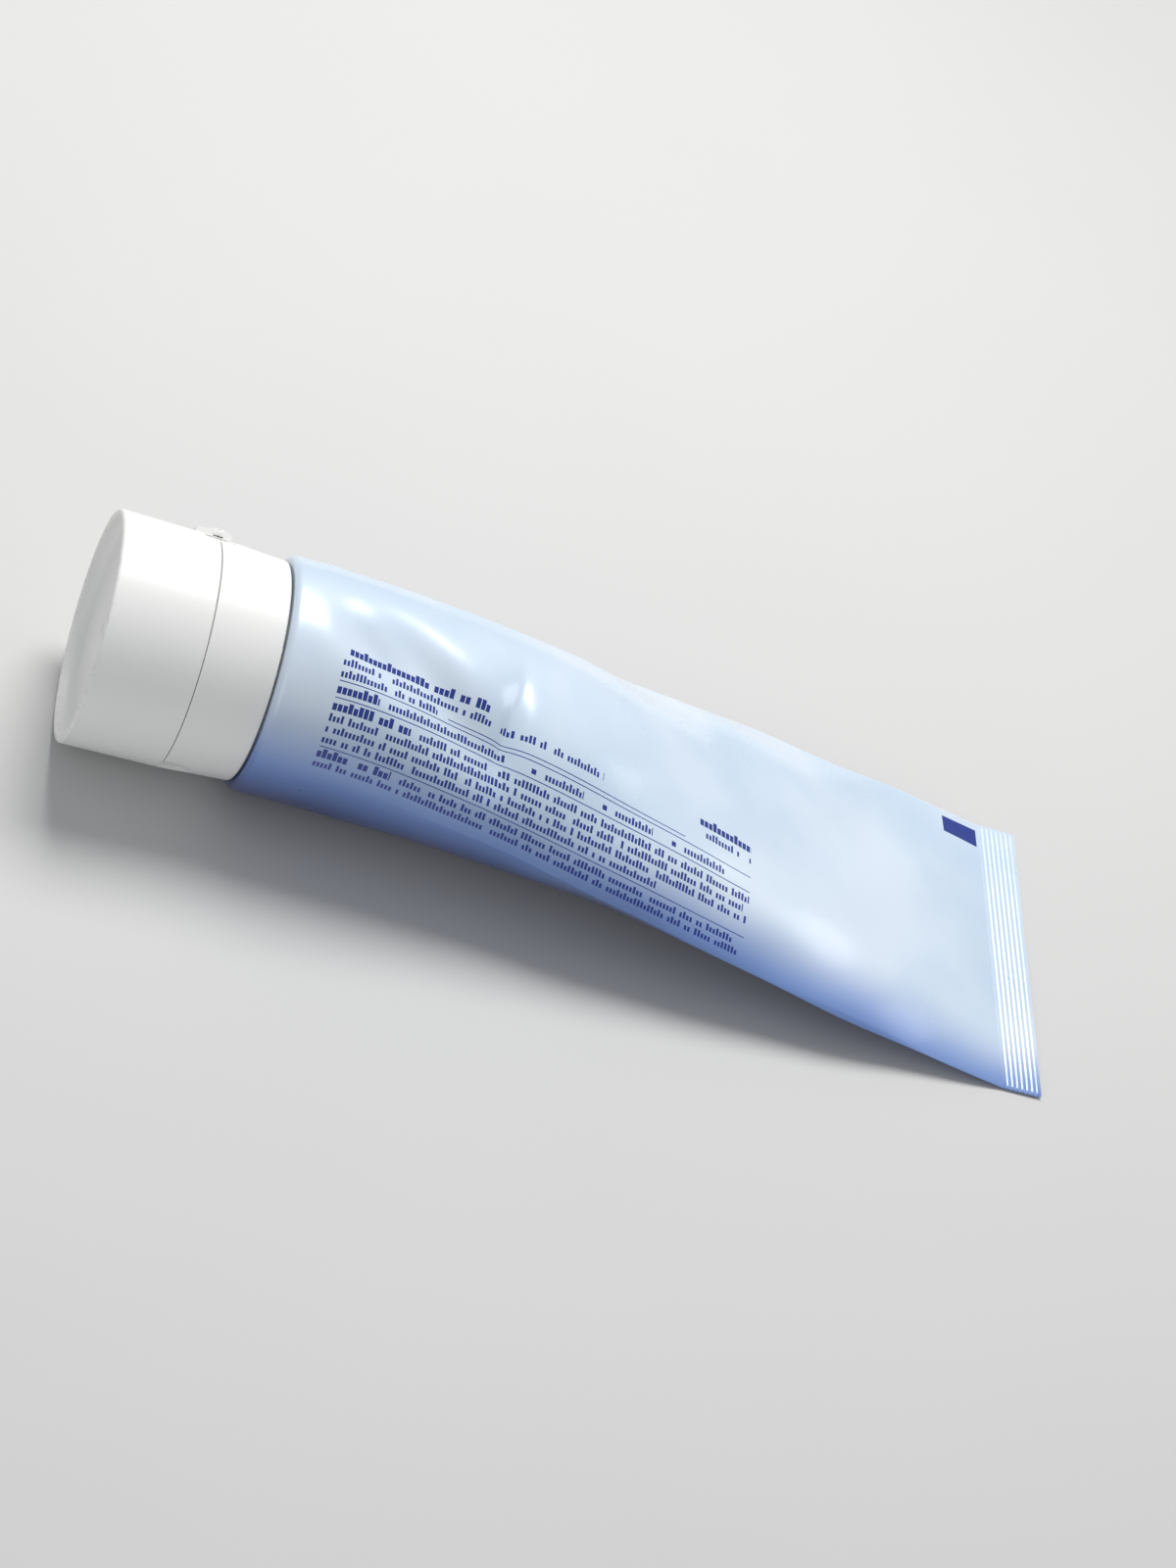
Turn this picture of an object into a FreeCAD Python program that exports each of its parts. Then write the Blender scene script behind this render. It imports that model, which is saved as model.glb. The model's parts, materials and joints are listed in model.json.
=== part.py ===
"""Squeeze tube with a flip-top cap, lying on its lower flank.

The sleeve is round at its shoulder and flattens to a straight crimp. It rests on its round front and on the
crimp, with its lower flank bowed a little between them, and its upper flank slopes down to the crimp. The cap
is pressed over a bead on the neck and keyed against turning. Its lid clears the table, and swings on a thin
film hinge with a strap at each side.

The part stands in its own frame: +X runs from the cap to the crimp, +Y to the far side, +Z up.
The origin is on the table, below the centre of the bounding box. Units are millimetres.

Pieces are built in the tube frame, with the axis on X and the sleeve's front edge at X 0.
They are placed at the end.
"""

import FreeCAD
import Part
import math
import os

# Sleeve
TUBE_D = 38.0
SLEEVE_WALL = 0.4
SLEEVE_LEN = 142.0
ROUND_LEN = 12.0
CORNER_R = 1.2
LIP_WIDTH = 0.8
CRIMP_LEN = 7.0
LOWER_BOW = 1.0

# Shoulder and neck
SHOULDER_WALL = 1.3
SHOULDER_SKIRT = 4.0
CONE_RISE = 5.0
NECK_R = 6.0
NECK_WALL = 1.4
BEAD_HEIGHT = 0.5
BEAD_LEN = 1.6
BEAD_FROM_TOP = 1.2

# Barrier insert and cream
INSERT_WALL = 0.45
INSERT_EDGE = 0.2
CREAM_GAP = 0.12
CREAM_NOSE_R = 3.0
CREAM_CRIMP_GAP = 4.0

# Cap, shared by its base and lid
SEAM_GAP = 0.35
BASE_LEN = 11.4
LID_LEN = 15.8
CAP_STEP = 1.3
PART_STEP = 0.55
TIP_STEP = 0.3
PART_GAP = 0.12

# Base of the cap
BASE_WALL = 1.6
DECK_WALL = 1.2
LAND_WALL = 1.0
LAND_HEIGHT = 1.2
LAND_CLEAR = 0.25
SPOUT_HEIGHT = 4.0
SPOUT_WALL = 1.7
ORIFICE_R = 3.4
SOCKET_WALL = 1.5
SEAL_DEPTH = 2.0
SEAL_CLEAR = 0.1
WEB_COUNT = 6
WEB_WALL = 0.8
WEB_DEPTH = 3.5
KEY_COUNT = 8
KEY_WIDTH = 0.7
KEY_HEIGHT = 0.5
KEY_LEN = 2.4
SCOOP_R = 10.0
SCOOP_DEPTH = 0.9
SCOOP_DROP = 1.6

# Lid
LID_WALL = 1.3
LID_END_WALL = 1.2
RIM_WIDTH = 1.1
END_DEPTH = 2.4
END_ROUND = 1.4
TIP_ROUND = 0.5
PLUG_WALL = 1.1
PLUG_DEPTH = 2.3
PLUG_CLEAR = 0.2
PLUG_TAPER = 0.25
FIN_COUNT = 4
FIN_WALL = 0.8
FIN_REACH = 4.5

# Hinge between them
HINGE_PROUD = 0.85
HINGE_WIDTH = 9.0
FILM_LEN = 1.6
FILM_WALL = 0.4
FILM_PROUD = 0.15
LID_LUG_LEN = 2.8
BASE_LUG_LEN = 1.4
LUG_RAMP = 0.45
STRAP_ANGLE = 22.5
STRAP_WIDTH = 1.6
STRAP_WALL = 0.5
STRAP_REACH = 2.4
POCKET_DEPTH = 0.75
STRAP_CLEAR = 0.1
HINGE_ELEVATION = 34.0

FIT_GAP = 0.05
EDGE_ROUND = 0.3

# Worked out from the values above
tube_r = TUBE_D / 2
bore_r = tube_r - SLEEVE_WALL
crimp_wall = 2 * SLEEVE_WALL
crimp_width = math.pi * (tube_r - SLEEVE_WALL / 2)
crimp_start = SLEEVE_LEN - CRIMP_LEN
neck_bore_r = NECK_R - NECK_WALL
lip_r = tube_r - CORNER_R - LIP_WIDTH

base_end = -SEAM_GAP
part_x = base_end - BASE_LEN
tip_x = part_x - LID_LEN
base_end_r = tube_r - CAP_STEP
part_r = tube_r - PART_STEP
tip_r = tube_r - TIP_STEP
deck_under = part_x + DECK_WALL
neck_top = deck_under + FIT_GAP
spout_top = part_x - SPOUT_HEIGHT
lid_open_r = part_r - LID_WALL
socket_r = NECK_R + 2 * FIT_GAP
hinge_r = part_r + HINGE_PROUD
pocket_floor = part_r - POCKET_DEPTH

axis = FreeCAD.Vector(1, 0, 0)
origin = FreeCAD.Vector(0, 0, 0)


def cone_x(radius):
    """Where the outside of the shoulder's cone is, along the axis, at a radius."""
    foot_x = SLEEVE_WALL + FIT_GAP
    return foot_x - CONE_RISE * (lip_r - radius) / (lip_r - NECK_R)


# The cone's wall measured along the axis
cone_slope = math.atan2(CONE_RISE, lip_r - NECK_R)
cone_wall = SHOULDER_WALL / math.cos(cone_slope)
insert_front = cone_wall + FIT_GAP
insert_back = insert_front + INSERT_WALL


def rounded_edges(points):
    """Edges of a closed outline of (x, radius, corner) points, each corner rounded by its own arc."""
    corners = []
    count = len(points)
    for i, (x, r, corner) in enumerate(points):
        here = FreeCAD.Vector(x, 0, r)
        before = FreeCAD.Vector(points[i - 1][0], 0, points[i - 1][1]) - here
        after = FreeCAD.Vector(points[(i + 1) % count][0], 0, points[(i + 1) % count][1]) - here
        before.normalize()
        after.normalize()
        if corner == 0:
            corners.append((here, None, here))
            continue
        half = before.getAngle(after) / 2
        inward = (before + after).normalize()
        reach = corner / math.tan(half)
        middle = here + inward * (corner / math.sin(half) - corner)
        corners.append((here + before * reach, middle, here + after * reach))
    edges = []
    for i, (start, middle, end) in enumerate(corners):
        if middle is not None:
            edges.append(Part.Arc(start, middle, end).toShape())
        edges.append(Part.makeLine(end, corners[(i + 1) % count][0]))
    return edges


def turned(points, degrees=360.0):
    """A solid turned about the axis from an outline of (x, radius) or (x, radius, corner) points."""
    full = [(p[0], p[1], p[2] if len(p) > 2 else 0) for p in points]
    face = Part.Face(Part.Wire(rounded_edges(full)))
    return face.revolve(origin, axis, degrees)


def block(x0, x1, y0, y1, z0, z1):
    """A box between two corners."""
    return Part.makeBox(x1 - x0, y1 - y0, z1 - z0, FreeCAD.Vector(x0, y0, z0))


def around(shape, angle):
    """The shape turned about the axis by an angle in degrees."""
    copy = shape.copy()
    copy.rotate(origin, axis, angle)
    return copy


def pattern(shape, count, start=0.0):
    """Copies of the shape spread evenly around the axis."""
    return [around(shape, start + 360.0 * i / count) for i in range(count)]


def flank(x):
    """Half height of the sleeve's outside behind its round stretch, from full radius to the crimp."""
    share = (x - ROUND_LEN) / (crimp_start - ROUND_LEN)
    return tube_r + (crimp_wall / 2 - tube_r) * share


def spread(x):
    """Half width of the sleeve's outside at the same place."""
    share = (x - ROUND_LEN) / (crimp_start - ROUND_LEN)
    return tube_r + (crimp_width / 2 - tube_r) * share


def section(x, inset):
    """The sleeve's oval section at x, inset from its outside, with its lowest line on the bow."""
    share = (x - ROUND_LEN) / (crimp_start - ROUND_LEN)
    lift = LOWER_BOW * (1 - abs(2 * share - 1))
    centre = FreeCAD.Vector(x, 0, flank(x) - tube_r + lift)
    wide = FreeCAD.Vector(0, spread(x) - inset, 0)
    high = FreeCAD.Vector(0, 0, flank(x) - inset)
    if wide.Length - high.Length < 1e-6:
        return Part.Wire(Part.Circle(centre, axis, wide.Length).toShape())
    return Part.Wire(Part.Ellipse(centre + wide, centre + high, centre).toShape())


def taper(end_x, inset, end_inset):
    """The flattening solid from the round stretch to end_x, straight to each side of the top of the bow."""
    middle = (ROUND_LEN + crimp_start) / 2
    places = [(ROUND_LEN, inset), (middle, inset), (end_x, end_inset)]
    return Part.makeLoft([section(x, depth) for x, depth in places], True, True)


def make_sleeve():
    """Round front with its edge turned in over the shoulder, flattening flanks and the sealed crimp."""
    front = turned([
        (0, lip_r),
        (0, tube_r, CORNER_R),
        (ROUND_LEN, tube_r),
        (ROUND_LEN, bore_r),
        (SLEEVE_WALL, bore_r, CORNER_R - SLEEVE_WALL),
        (SLEEVE_WALL, lip_r),
    ])
    sealed_inset = crimp_wall / 2 - SLEEVE_WALL / 4
    outside = taper(crimp_start, 0, 0)
    inside = taper(crimp_start - SLEEVE_WALL, SLEEVE_WALL, sealed_inset)
    seal = block(
        crimp_start, SLEEVE_LEN, -crimp_width / 2, crimp_width / 2, -tube_r, -tube_r + crimp_wall
    )
    return front.fuse([outside.cut(inside), seal]).removeSplitter()


def make_shoulder():
    """Skirt inside the sleeve, cone, and a neck with a snap bead and keys at its root."""
    skirt_r = bore_r - FIT_GAP
    skirt_in = skirt_r - SHOULDER_WALL
    foot = SLEEVE_WALL + FIT_GAP
    bead_top = neck_top + BEAD_FROM_TOP
    bead_r = NECK_R + BEAD_HEIGHT
    body = turned([
        (SHOULDER_SKIRT, skirt_r),
        (foot, skirt_r, CORNER_R - SLEEVE_WALL),
        (foot, lip_r - FIT_GAP),
        (cone_x(NECK_R), NECK_R),
        (bead_top + BEAD_LEN, NECK_R),
        (bead_top + BEAD_LEN / 2, bead_r),
        (bead_top, NECK_R),
        (neck_top, NECK_R, EDGE_ROUND),
        (neck_top, neck_bore_r, EDGE_ROUND),
        (cone_x(neck_bore_r) + cone_wall, neck_bore_r),
        (cone_x(skirt_in) + cone_wall, skirt_in),
        (SHOULDER_SKIRT, skirt_in),
    ])
    root = cone_x(NECK_R)
    key = block(
        root - KEY_LEN, root + EDGE_ROUND, -KEY_WIDTH / 2, KEY_WIDTH / 2,
        NECK_R - EDGE_ROUND, NECK_R + KEY_HEIGHT,
    )
    return body.fuse(pattern(key, KEY_COUNT)).removeSplitter()


def make_barrier_insert():
    """Thin cone that lines the inside of the shoulder."""
    outer_r = bore_r - FIT_GAP - SHOULDER_WALL - INSERT_EDGE
    inner_r = neck_bore_r + INSERT_EDGE
    return turned([
        (cone_x(outer_r) + insert_front, outer_r),
        (cone_x(inner_r) + insert_front, inner_r),
        (cone_x(inner_r) + insert_back, inner_r),
        (cone_x(outer_r) + insert_back, outer_r),
    ])


def make_cream_fill():
    """The cream, which fills the sleeve from the insert to just short of the crimp."""
    cream_r = bore_r - CREAM_GAP
    throat_r = bore_r - FIT_GAP - SHOULDER_WALL - INSERT_EDGE
    behind = insert_back + CREAM_GAP
    front = turned([
        (cone_x(CREAM_NOSE_R) + behind, 0),
        (cone_x(CREAM_NOSE_R) + behind, CREAM_NOSE_R),
        (cone_x(throat_r) + behind, throat_r),
        (SHOULDER_SKIRT + CREAM_GAP, throat_r),
        (SHOULDER_SKIRT + CREAM_GAP, cream_r),
        (ROUND_LEN, cream_r),
        (ROUND_LEN, 0),
    ])
    inset = SLEEVE_WALL + CREAM_GAP
    back = taper(crimp_start - CREAM_CRIMP_GAP, inset, inset)
    return front.fuse(back).removeSplitter()


def at_straps(shape):
    """The shape copied to the places of the two straps, one on each side of the hinge."""
    return [around(shape, -STRAP_ANGLE), around(shape, STRAP_ANGLE)]


def strap_pockets(x0, x1):
    """Pockets for the two straps between x0 and x1, open outwards."""
    half = STRAP_WIDTH / 2 + STRAP_CLEAR
    return at_straps(block(x0, x1, -half, half, pocket_floor, hinge_r))


def make_closure_base():
    """Outer skirt, deck with the spout, socket that grips the neck, and the seat of the hinge."""
    base_in = base_end_r - BASE_WALL
    deck_in = part_r - BASE_WALL
    land_r = lid_open_r - LAND_CLEAR
    spout_r = ORIFICE_R + SPOUT_WALL
    socket_out = socket_r + SOCKET_WALL
    socket_end = cone_x(socket_r) - 2 * FIT_GAP
    seal_r = neck_bore_r - SEAL_CLEAR
    bead_top = neck_top + BEAD_FROM_TOP
    groove_r = socket_r + BEAD_HEIGHT
    shell = turned([
        (base_end, base_end_r, EDGE_ROUND),
        (part_x, part_r, EDGE_ROUND / 2),
        (part_x, land_r),
        (part_x - LAND_HEIGHT, land_r, EDGE_ROUND),
        (part_x - LAND_HEIGHT, land_r - LAND_WALL, EDGE_ROUND),
        (part_x, land_r - LAND_WALL, EDGE_ROUND),
        (part_x, spout_r, EDGE_ROUND),
        (spout_top, spout_r, 2 * EDGE_ROUND),
        (spout_top, ORIFICE_R, EDGE_ROUND / 2),
        (deck_under + SEAL_DEPTH, ORIFICE_R),
        (deck_under + SEAL_DEPTH, seal_r, EDGE_ROUND),
        (deck_under, seal_r),
        (deck_under, socket_r),
        (bead_top - FIT_GAP, socket_r),
        (bead_top + BEAD_LEN / 2, groove_r),
        (bead_top + BEAD_LEN + FIT_GAP, socket_r),
        (socket_end, socket_r, EDGE_ROUND),
        (socket_end, socket_out, EDGE_ROUND),
        (deck_under, socket_out, EDGE_ROUND),
        (deck_under, deck_in, EDGE_ROUND),
        (base_end, base_in),
    ])
    web = block(
        deck_under - DECK_WALL / 2, deck_under + WEB_DEPTH, -WEB_WALL / 2, WEB_WALL / 2,
        socket_out - SOCKET_WALL / 2, base_in + BASE_WALL / 2,
    )
    key_gap = 3 * FIT_GAP
    keyway = block(
        cone_x(NECK_R) - KEY_LEN - key_gap, socket_end + EDGE_ROUND,
        -KEY_WIDTH / 2 - key_gap, KEY_WIDTH / 2 + key_gap, 0, NECK_R + KEY_HEIGHT + key_gap,
    )
    scoop_centre = FreeCAD.Vector(part_x + SCOOP_DROP, 0, -(part_r + SCOOP_R - SCOOP_DEPTH))
    scoop = Part.makeSphere(SCOOP_R, scoop_centre, axis)
    lug_start = part_x + FILM_LEN / 2
    lug = hinge_lug(lug_start, lug_start + BASE_LUG_LEN)
    shell = shell.fuse(pattern(web, WEB_COUNT, 180.0 / WEB_COUNT) + [lug])
    cuts = pattern(keyway, KEY_COUNT) + [scoop] + strap_pockets(part_x - PART_GAP, part_x + STRAP_REACH)
    return shell.cut(cuts).removeSplitter()


def hinge_lug(thick_end, thin_end):
    """Raised block beside the film, just lower than it and ramping down away from it."""
    foot = math.sqrt(part_r**2 - (HINGE_WIDTH / 2) ** 2) - EDGE_ROUND
    top = hinge_r - FILM_PROUD
    points = [
        FreeCAD.Vector(thick_end, -HINGE_WIDTH / 2, foot),
        FreeCAD.Vector(thick_end, -HINGE_WIDTH / 2, top),
        FreeCAD.Vector(thin_end, -HINGE_WIDTH / 2, top - LUG_RAMP),
        FreeCAD.Vector(thin_end, -HINGE_WIDTH / 2, foot),
    ]
    face = Part.Face(Part.makePolygon(points + points[:1]))
    return face.extrude(FreeCAD.Vector(0, HINGE_WIDTH, 0))


def make_lid():
    """Cup with a recessed end to stand on, a plug for the orifice and its half of the hinge."""
    open_x = part_x - PART_GAP
    end_out = tip_x + END_DEPTH
    end_in = end_out + LID_END_WALL
    recess_r = tip_r - RIM_WIDTH
    wall_share = (end_in - tip_x) / (open_x - tip_x)
    end_in_r = recess_r + (lid_open_r - recess_r) * wall_share
    shell = turned([
        (end_out, 0),
        (end_out, recess_r, END_ROUND),
        (tip_x, recess_r, EDGE_ROUND),
        (tip_x, tip_r, TIP_ROUND),
        (open_x, part_r, EDGE_ROUND / 2),
        (open_x, lid_open_r),
        (end_in, end_in_r, EDGE_ROUND),
        (end_in, 0),
    ])

    plug_r = ORIFICE_R - PLUG_CLEAR
    plug_end = spout_top + PLUG_DEPTH
    root_x = end_in - LID_END_WALL / 2
    plug = turned([
        (root_x, plug_r),
        (spout_top, plug_r),
        (plug_end, plug_r - PLUG_TAPER, EDGE_ROUND),
        (plug_end, plug_r - PLUG_WALL, EDGE_ROUND),
        (root_x, plug_r - PLUG_WALL),
    ])
    fin_end = spout_top - 2 * EDGE_ROUND
    fin_points = [
        FreeCAD.Vector(root_x, -FIN_WALL / 2, plug_r - PLUG_WALL / 2),
        FreeCAD.Vector(root_x, -FIN_WALL / 2, plug_r + FIN_REACH),
        FreeCAD.Vector(fin_end, -FIN_WALL / 2, plug_r + FIN_WALL),
        FreeCAD.Vector(fin_end, -FIN_WALL / 2, plug_r - PLUG_WALL / 2),
    ]
    fin_face = Part.Face(Part.makePolygon(fin_points + fin_points[:1]))
    fin = fin_face.extrude(FreeCAD.Vector(0, FIN_WALL, 0))
    lug_start = part_x - FILM_LEN / 2
    lug = hinge_lug(lug_start, lug_start - LID_LUG_LEN)
    lid = shell.fuse([plug, lug] + pattern(fin, FIN_COUNT, 180.0 / FIN_COUNT))
    return lid.cut(strap_pockets(part_x - STRAP_REACH, part_x)).removeSplitter()


def make_hinge_film():
    """The thin web between the two lugs. The lid turns about the middle of its outer face."""
    return block(
        part_x - FILM_LEN / 2, part_x + FILM_LEN / 2,
        -HINGE_WIDTH / 2, HINGE_WIDTH / 2, hinge_r - FILM_WALL, hinge_r,
    )


def make_hinge_straps():
    """Two short straps, each bridging the parting line in its pocket."""
    x0 = part_x - STRAP_REACH + STRAP_CLEAR
    x1 = part_x + STRAP_REACH - STRAP_CLEAR
    floor = pocket_floor + STRAP_CLEAR
    strap = block(x0, x1, -STRAP_WIDTH / 2, STRAP_WIDTH / 2, floor, floor + STRAP_WALL)
    return Part.makeCompound(at_straps(strap))


# The cap is modelled with its hinge at the top, and turned with the neck that it is keyed to
TURNED_TO_HINGE = ("shoulder", "closure_base", "lid", "hinge_film", "hinge_straps")

nodes = {
    "sleeve": make_sleeve(),
    "shoulder": make_shoulder(),
    "barrier_insert": make_barrier_insert(),
    "cream_fill": make_cream_fill(),
    "closure_base": make_closure_base(),
    "lid": make_lid(),
    "hinge_film": make_hinge_film(),
    "hinge_straps": make_hinge_straps(),
}

os.makedirs("parts", exist_ok=True)
to_table_frame = FreeCAD.Vector(-(tip_x + SLEEVE_LEN) / 2, 0, tube_r)
for name, shape in nodes.items():
    if name in TURNED_TO_HINGE:
        shape = around(shape, HINGE_ELEVATION - 90.0)
    shape.translate(to_table_frame)
    shape.exportStep(f"parts/{name}.step")
    print(name, "valid", shape.isValid(), "solids", len(shape.Solids), "volume", round(shape.Volume, 1))
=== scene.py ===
import json
import math
import bpy
import numpy as np
from mathutils import Matrix, Vector


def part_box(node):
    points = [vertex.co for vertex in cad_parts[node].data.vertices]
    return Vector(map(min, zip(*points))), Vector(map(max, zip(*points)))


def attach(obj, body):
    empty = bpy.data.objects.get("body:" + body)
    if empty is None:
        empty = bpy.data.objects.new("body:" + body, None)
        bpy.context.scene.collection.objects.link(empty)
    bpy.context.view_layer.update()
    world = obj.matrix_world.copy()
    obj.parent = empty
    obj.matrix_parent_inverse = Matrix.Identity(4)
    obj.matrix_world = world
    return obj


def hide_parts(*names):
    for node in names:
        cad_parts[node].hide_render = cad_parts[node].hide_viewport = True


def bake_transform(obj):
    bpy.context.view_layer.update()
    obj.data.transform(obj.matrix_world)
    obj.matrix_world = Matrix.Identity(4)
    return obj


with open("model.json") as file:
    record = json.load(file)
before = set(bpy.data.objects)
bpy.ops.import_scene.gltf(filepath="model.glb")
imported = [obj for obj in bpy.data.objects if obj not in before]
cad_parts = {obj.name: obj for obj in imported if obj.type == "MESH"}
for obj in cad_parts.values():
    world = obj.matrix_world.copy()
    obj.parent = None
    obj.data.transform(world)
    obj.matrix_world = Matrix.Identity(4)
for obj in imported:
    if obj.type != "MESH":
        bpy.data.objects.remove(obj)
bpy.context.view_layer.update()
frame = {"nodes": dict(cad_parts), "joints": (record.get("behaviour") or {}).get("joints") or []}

print("stage 1: frame loaded")

mm = 0.001
sleeveLow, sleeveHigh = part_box("sleeve")
creamLow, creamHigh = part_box("cream_fill")
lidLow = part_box("lid")[0]
hingePoint = np.array(frame["joints"][0]["pos_m"])
axisHeight = 0.5 * (sleeveLow.z + sleeveHigh.z)  # the cap's own axis runs along X at this height
hingeRadius = math.hypot(hingePoint[1], hingePoint[2] - axisHeight)
hingeTurn = math.atan2(hingePoint[2] - axisHeight, hingePoint[1])  # from +Y towards +Z


def smoothStep(low, high, value):
    # 0 below low, 1 above high, and the cubic 3t^2 - 2t^3 between them
    t = np.clip((value - low) / (high - low), 0, 1)
    return t * t * (3 - 2 * t)


sharpAngle = math.radians(45)


def surfaceObject(name, points, endRows, mapRows=None, mapColumns=None):
    # Neighbours in the rows x columns grid of points join in quads, and each row closes on itself. An end
    # row is a "pole", which is one shared point, or a "fold", where each point is shared with its mirror
    # across the row.
    rows, columns = points.shape[:2]
    index = np.arange(rows * columns).reshape(rows, columns)
    column = np.arange(columns)
    shared = {"pole": column * 0, "fold": np.minimum(column, (columns - column) % columns)}
    index[0] = shared[endRows[0]]
    index[-1] = (rows - 1) * columns + shared[endRows[1]]
    right = np.roll(index, -1, axis=1)
    quads = np.stack([index[:-1], right[:-1], right[1:], index[1:]], -1)
    first = int(endRows[0] == "pole")
    last = rows - 1 - int(endRows[1] == "pole")
    triangles = np.concatenate([quads[:first, :, [0, 2, 3]], quads[last:, :, [0, 1, 3]]]).reshape(-1, 3)
    quads = quads[first:last].reshape(-1, 4)
    used, joined = np.unique(np.concatenate([quads.ravel(), triangles.ravel()]), return_inverse=True)
    fours, threes = np.split(joined.ravel(), [quads.size])
    faces = fours.reshape(-1, 4).tolist() + threes.reshape(-1, 3).tolist()
    mesh = bpy.data.meshes.new(name)
    mesh.from_pydata(points.reshape(-1, 3)[used].tolist(), [], faces)
    if mapRows is not None:
        u = np.stack([mapRows[:-1], mapRows[:-1], mapRows[1:], mapRows[1:]], -1)[:, None, :]
        v = np.stack([mapColumns[:-1], mapColumns[1:], mapColumns[1:], mapColumns[:-1]], -1)[None, :, :]
        corners = np.stack(np.broadcast_arrays(u, v), -1).astype(np.float32)
        mesh.uv_layers.new(name="printMap").data.foreach_set("uv", corners.ravel())
    mesh.shade_smooth()
    mesh.set_sharp_from_angle(angle=sharpAngle)
    piece = bpy.data.objects.new(name, mesh)
    bpy.context.scene.collection.objects.link(piece)
    return piece


def newGroup(name, inputs, outputs):
    # inputs are (name, socket type, starting value), and outputs are (name, socket type)
    group = bpy.data.node_groups.new(name, "ShaderNodeTree")
    for label, kind, value in inputs:
        socket = group.interface.new_socket(name=label, in_out="INPUT", socket_type=kind)
        if value is not None:
            socket.default_value = value
    for label, kind in outputs:
        group.interface.new_socket(name=label, in_out="OUTPUT", socket_type=kind)
    return group, group.nodes.new("NodeGroupInput"), group.nodes.new("NodeGroupOutput")


def maths(tree, operation, a, b=None, c=None, clamp=False):
    node = tree.nodes.new("ShaderNodeMath")
    node.operation = operation
    node.use_clamp = clamp
    for index, value in enumerate((a, b, c)):
        if value is None:
            continue
        if isinstance(value, (int, float)):
            node.inputs[index].default_value = value
        else:
            tree.links.new(value, node.inputs[index])
    return node.outputs[0]


def ramp(tree, value, low, high, toLow=0.0, toHigh=1.0, smooth=True):
    node = tree.nodes.new("ShaderNodeMapRange")
    node.interpolation_type = "SMOOTHSTEP" if smooth else "LINEAR"
    tree.links.new(value, node.inputs["Value"])
    for label, number in (("From Min", low), ("From Max", high), ("To Min", toLow), ("To Max", toHigh)):
        if isinstance(number, (int, float)):
            node.inputs[label].default_value = number
        else:
            tree.links.new(number, node.inputs[label])
    return node.outputs["Result"]


def noise(tree, vector, scale, detail=3.0, roughness=0.5):
    node = tree.nodes.new("ShaderNodeTexNoise")
    node.inputs["Scale"].default_value = scale
    node.inputs["Detail"].default_value = detail
    node.inputs["Roughness"].default_value = roughness
    tree.links.new(vector, node.inputs["Vector"])
    return node.outputs["Fac"]


def mixColour(tree, factor, first, second):
    node = tree.nodes.new("ShaderNodeMix")
    node.data_type = "RGBA"
    for socket, value in ((node.inputs[0], factor), (node.inputs[6], first), (node.inputs[7], second)):
        if isinstance(value, (int, float)):
            socket.default_value = value
        elif isinstance(value, tuple):
            socket.default_value = (*value, 1.0)
        else:
            tree.links.new(value, socket)
    return node.outputs[2]


# Handling marks. A scale is in noise cells a metre, and a cut says where the noise starts and is full.
handlingLook = {
    "smearScale": 55.0,
    "scratchScale": (90.0, 1400.0, 1400.0),
    "scratchTurn": (0.3, 0.5, 0.4),
    "scratchCut": (0.66, 0.74),
    "patchScale": 30.0,
    "patchCut": (0.5, 0.62),
}


def makeHandlingGroup():
    # fine marks from handling: a soft smear value, and thin scratches that come in patches
    h = handlingLook
    group, inn, out = newGroup(
        "handlingMarks",
        [("Vector", "NodeSocketVector", None), ("Scratch", "NodeSocketFloat", 0.5)],
        [("Smear", "NodeSocketFloat"), ("Scratch", "NodeSocketFloat")],
    )
    vector = inn.outputs["Vector"]
    smear = ramp(group, noise(group, vector, h["smearScale"], 4.0, 0.6), 0.35, 0.7)
    stretch = group.nodes.new("ShaderNodeMapping")
    stretch.inputs["Scale"].default_value = h["scratchScale"]
    stretch.inputs["Rotation"].default_value = h["scratchTurn"]
    group.links.new(vector, stretch.inputs["Vector"])
    lines = ramp(group, noise(group, stretch.outputs["Vector"], 1.0, 2.0, 0.5), *h["scratchCut"])
    patches = ramp(group, noise(group, vector, h["patchScale"], 2.0), *h["patchCut"])
    scratch = maths(group, "MULTIPLY", maths(group, "MULTIPLY", lines, patches), inn.outputs["Scratch"])
    group.links.new(smear, out.inputs["Smear"])
    group.links.new(scratch, out.inputs["Scratch"])
    return group


# One row of dashes. A pitch is in millimetres, a dash is a share of the pitch, and what bold adds to each is
# beside it. The share of places left as gaps is gaps, and dashes whose draw is below shortOnes are short.
textRowLook = {
    "pitch": 0.62,
    "boldPitch": 0.22,
    "dash": 0.66,
    "boldDash": 0.16,
    "gaps": 0.16,
    "shortOnes": 0.68,
    "shortHeight": 0.7,
}


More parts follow.
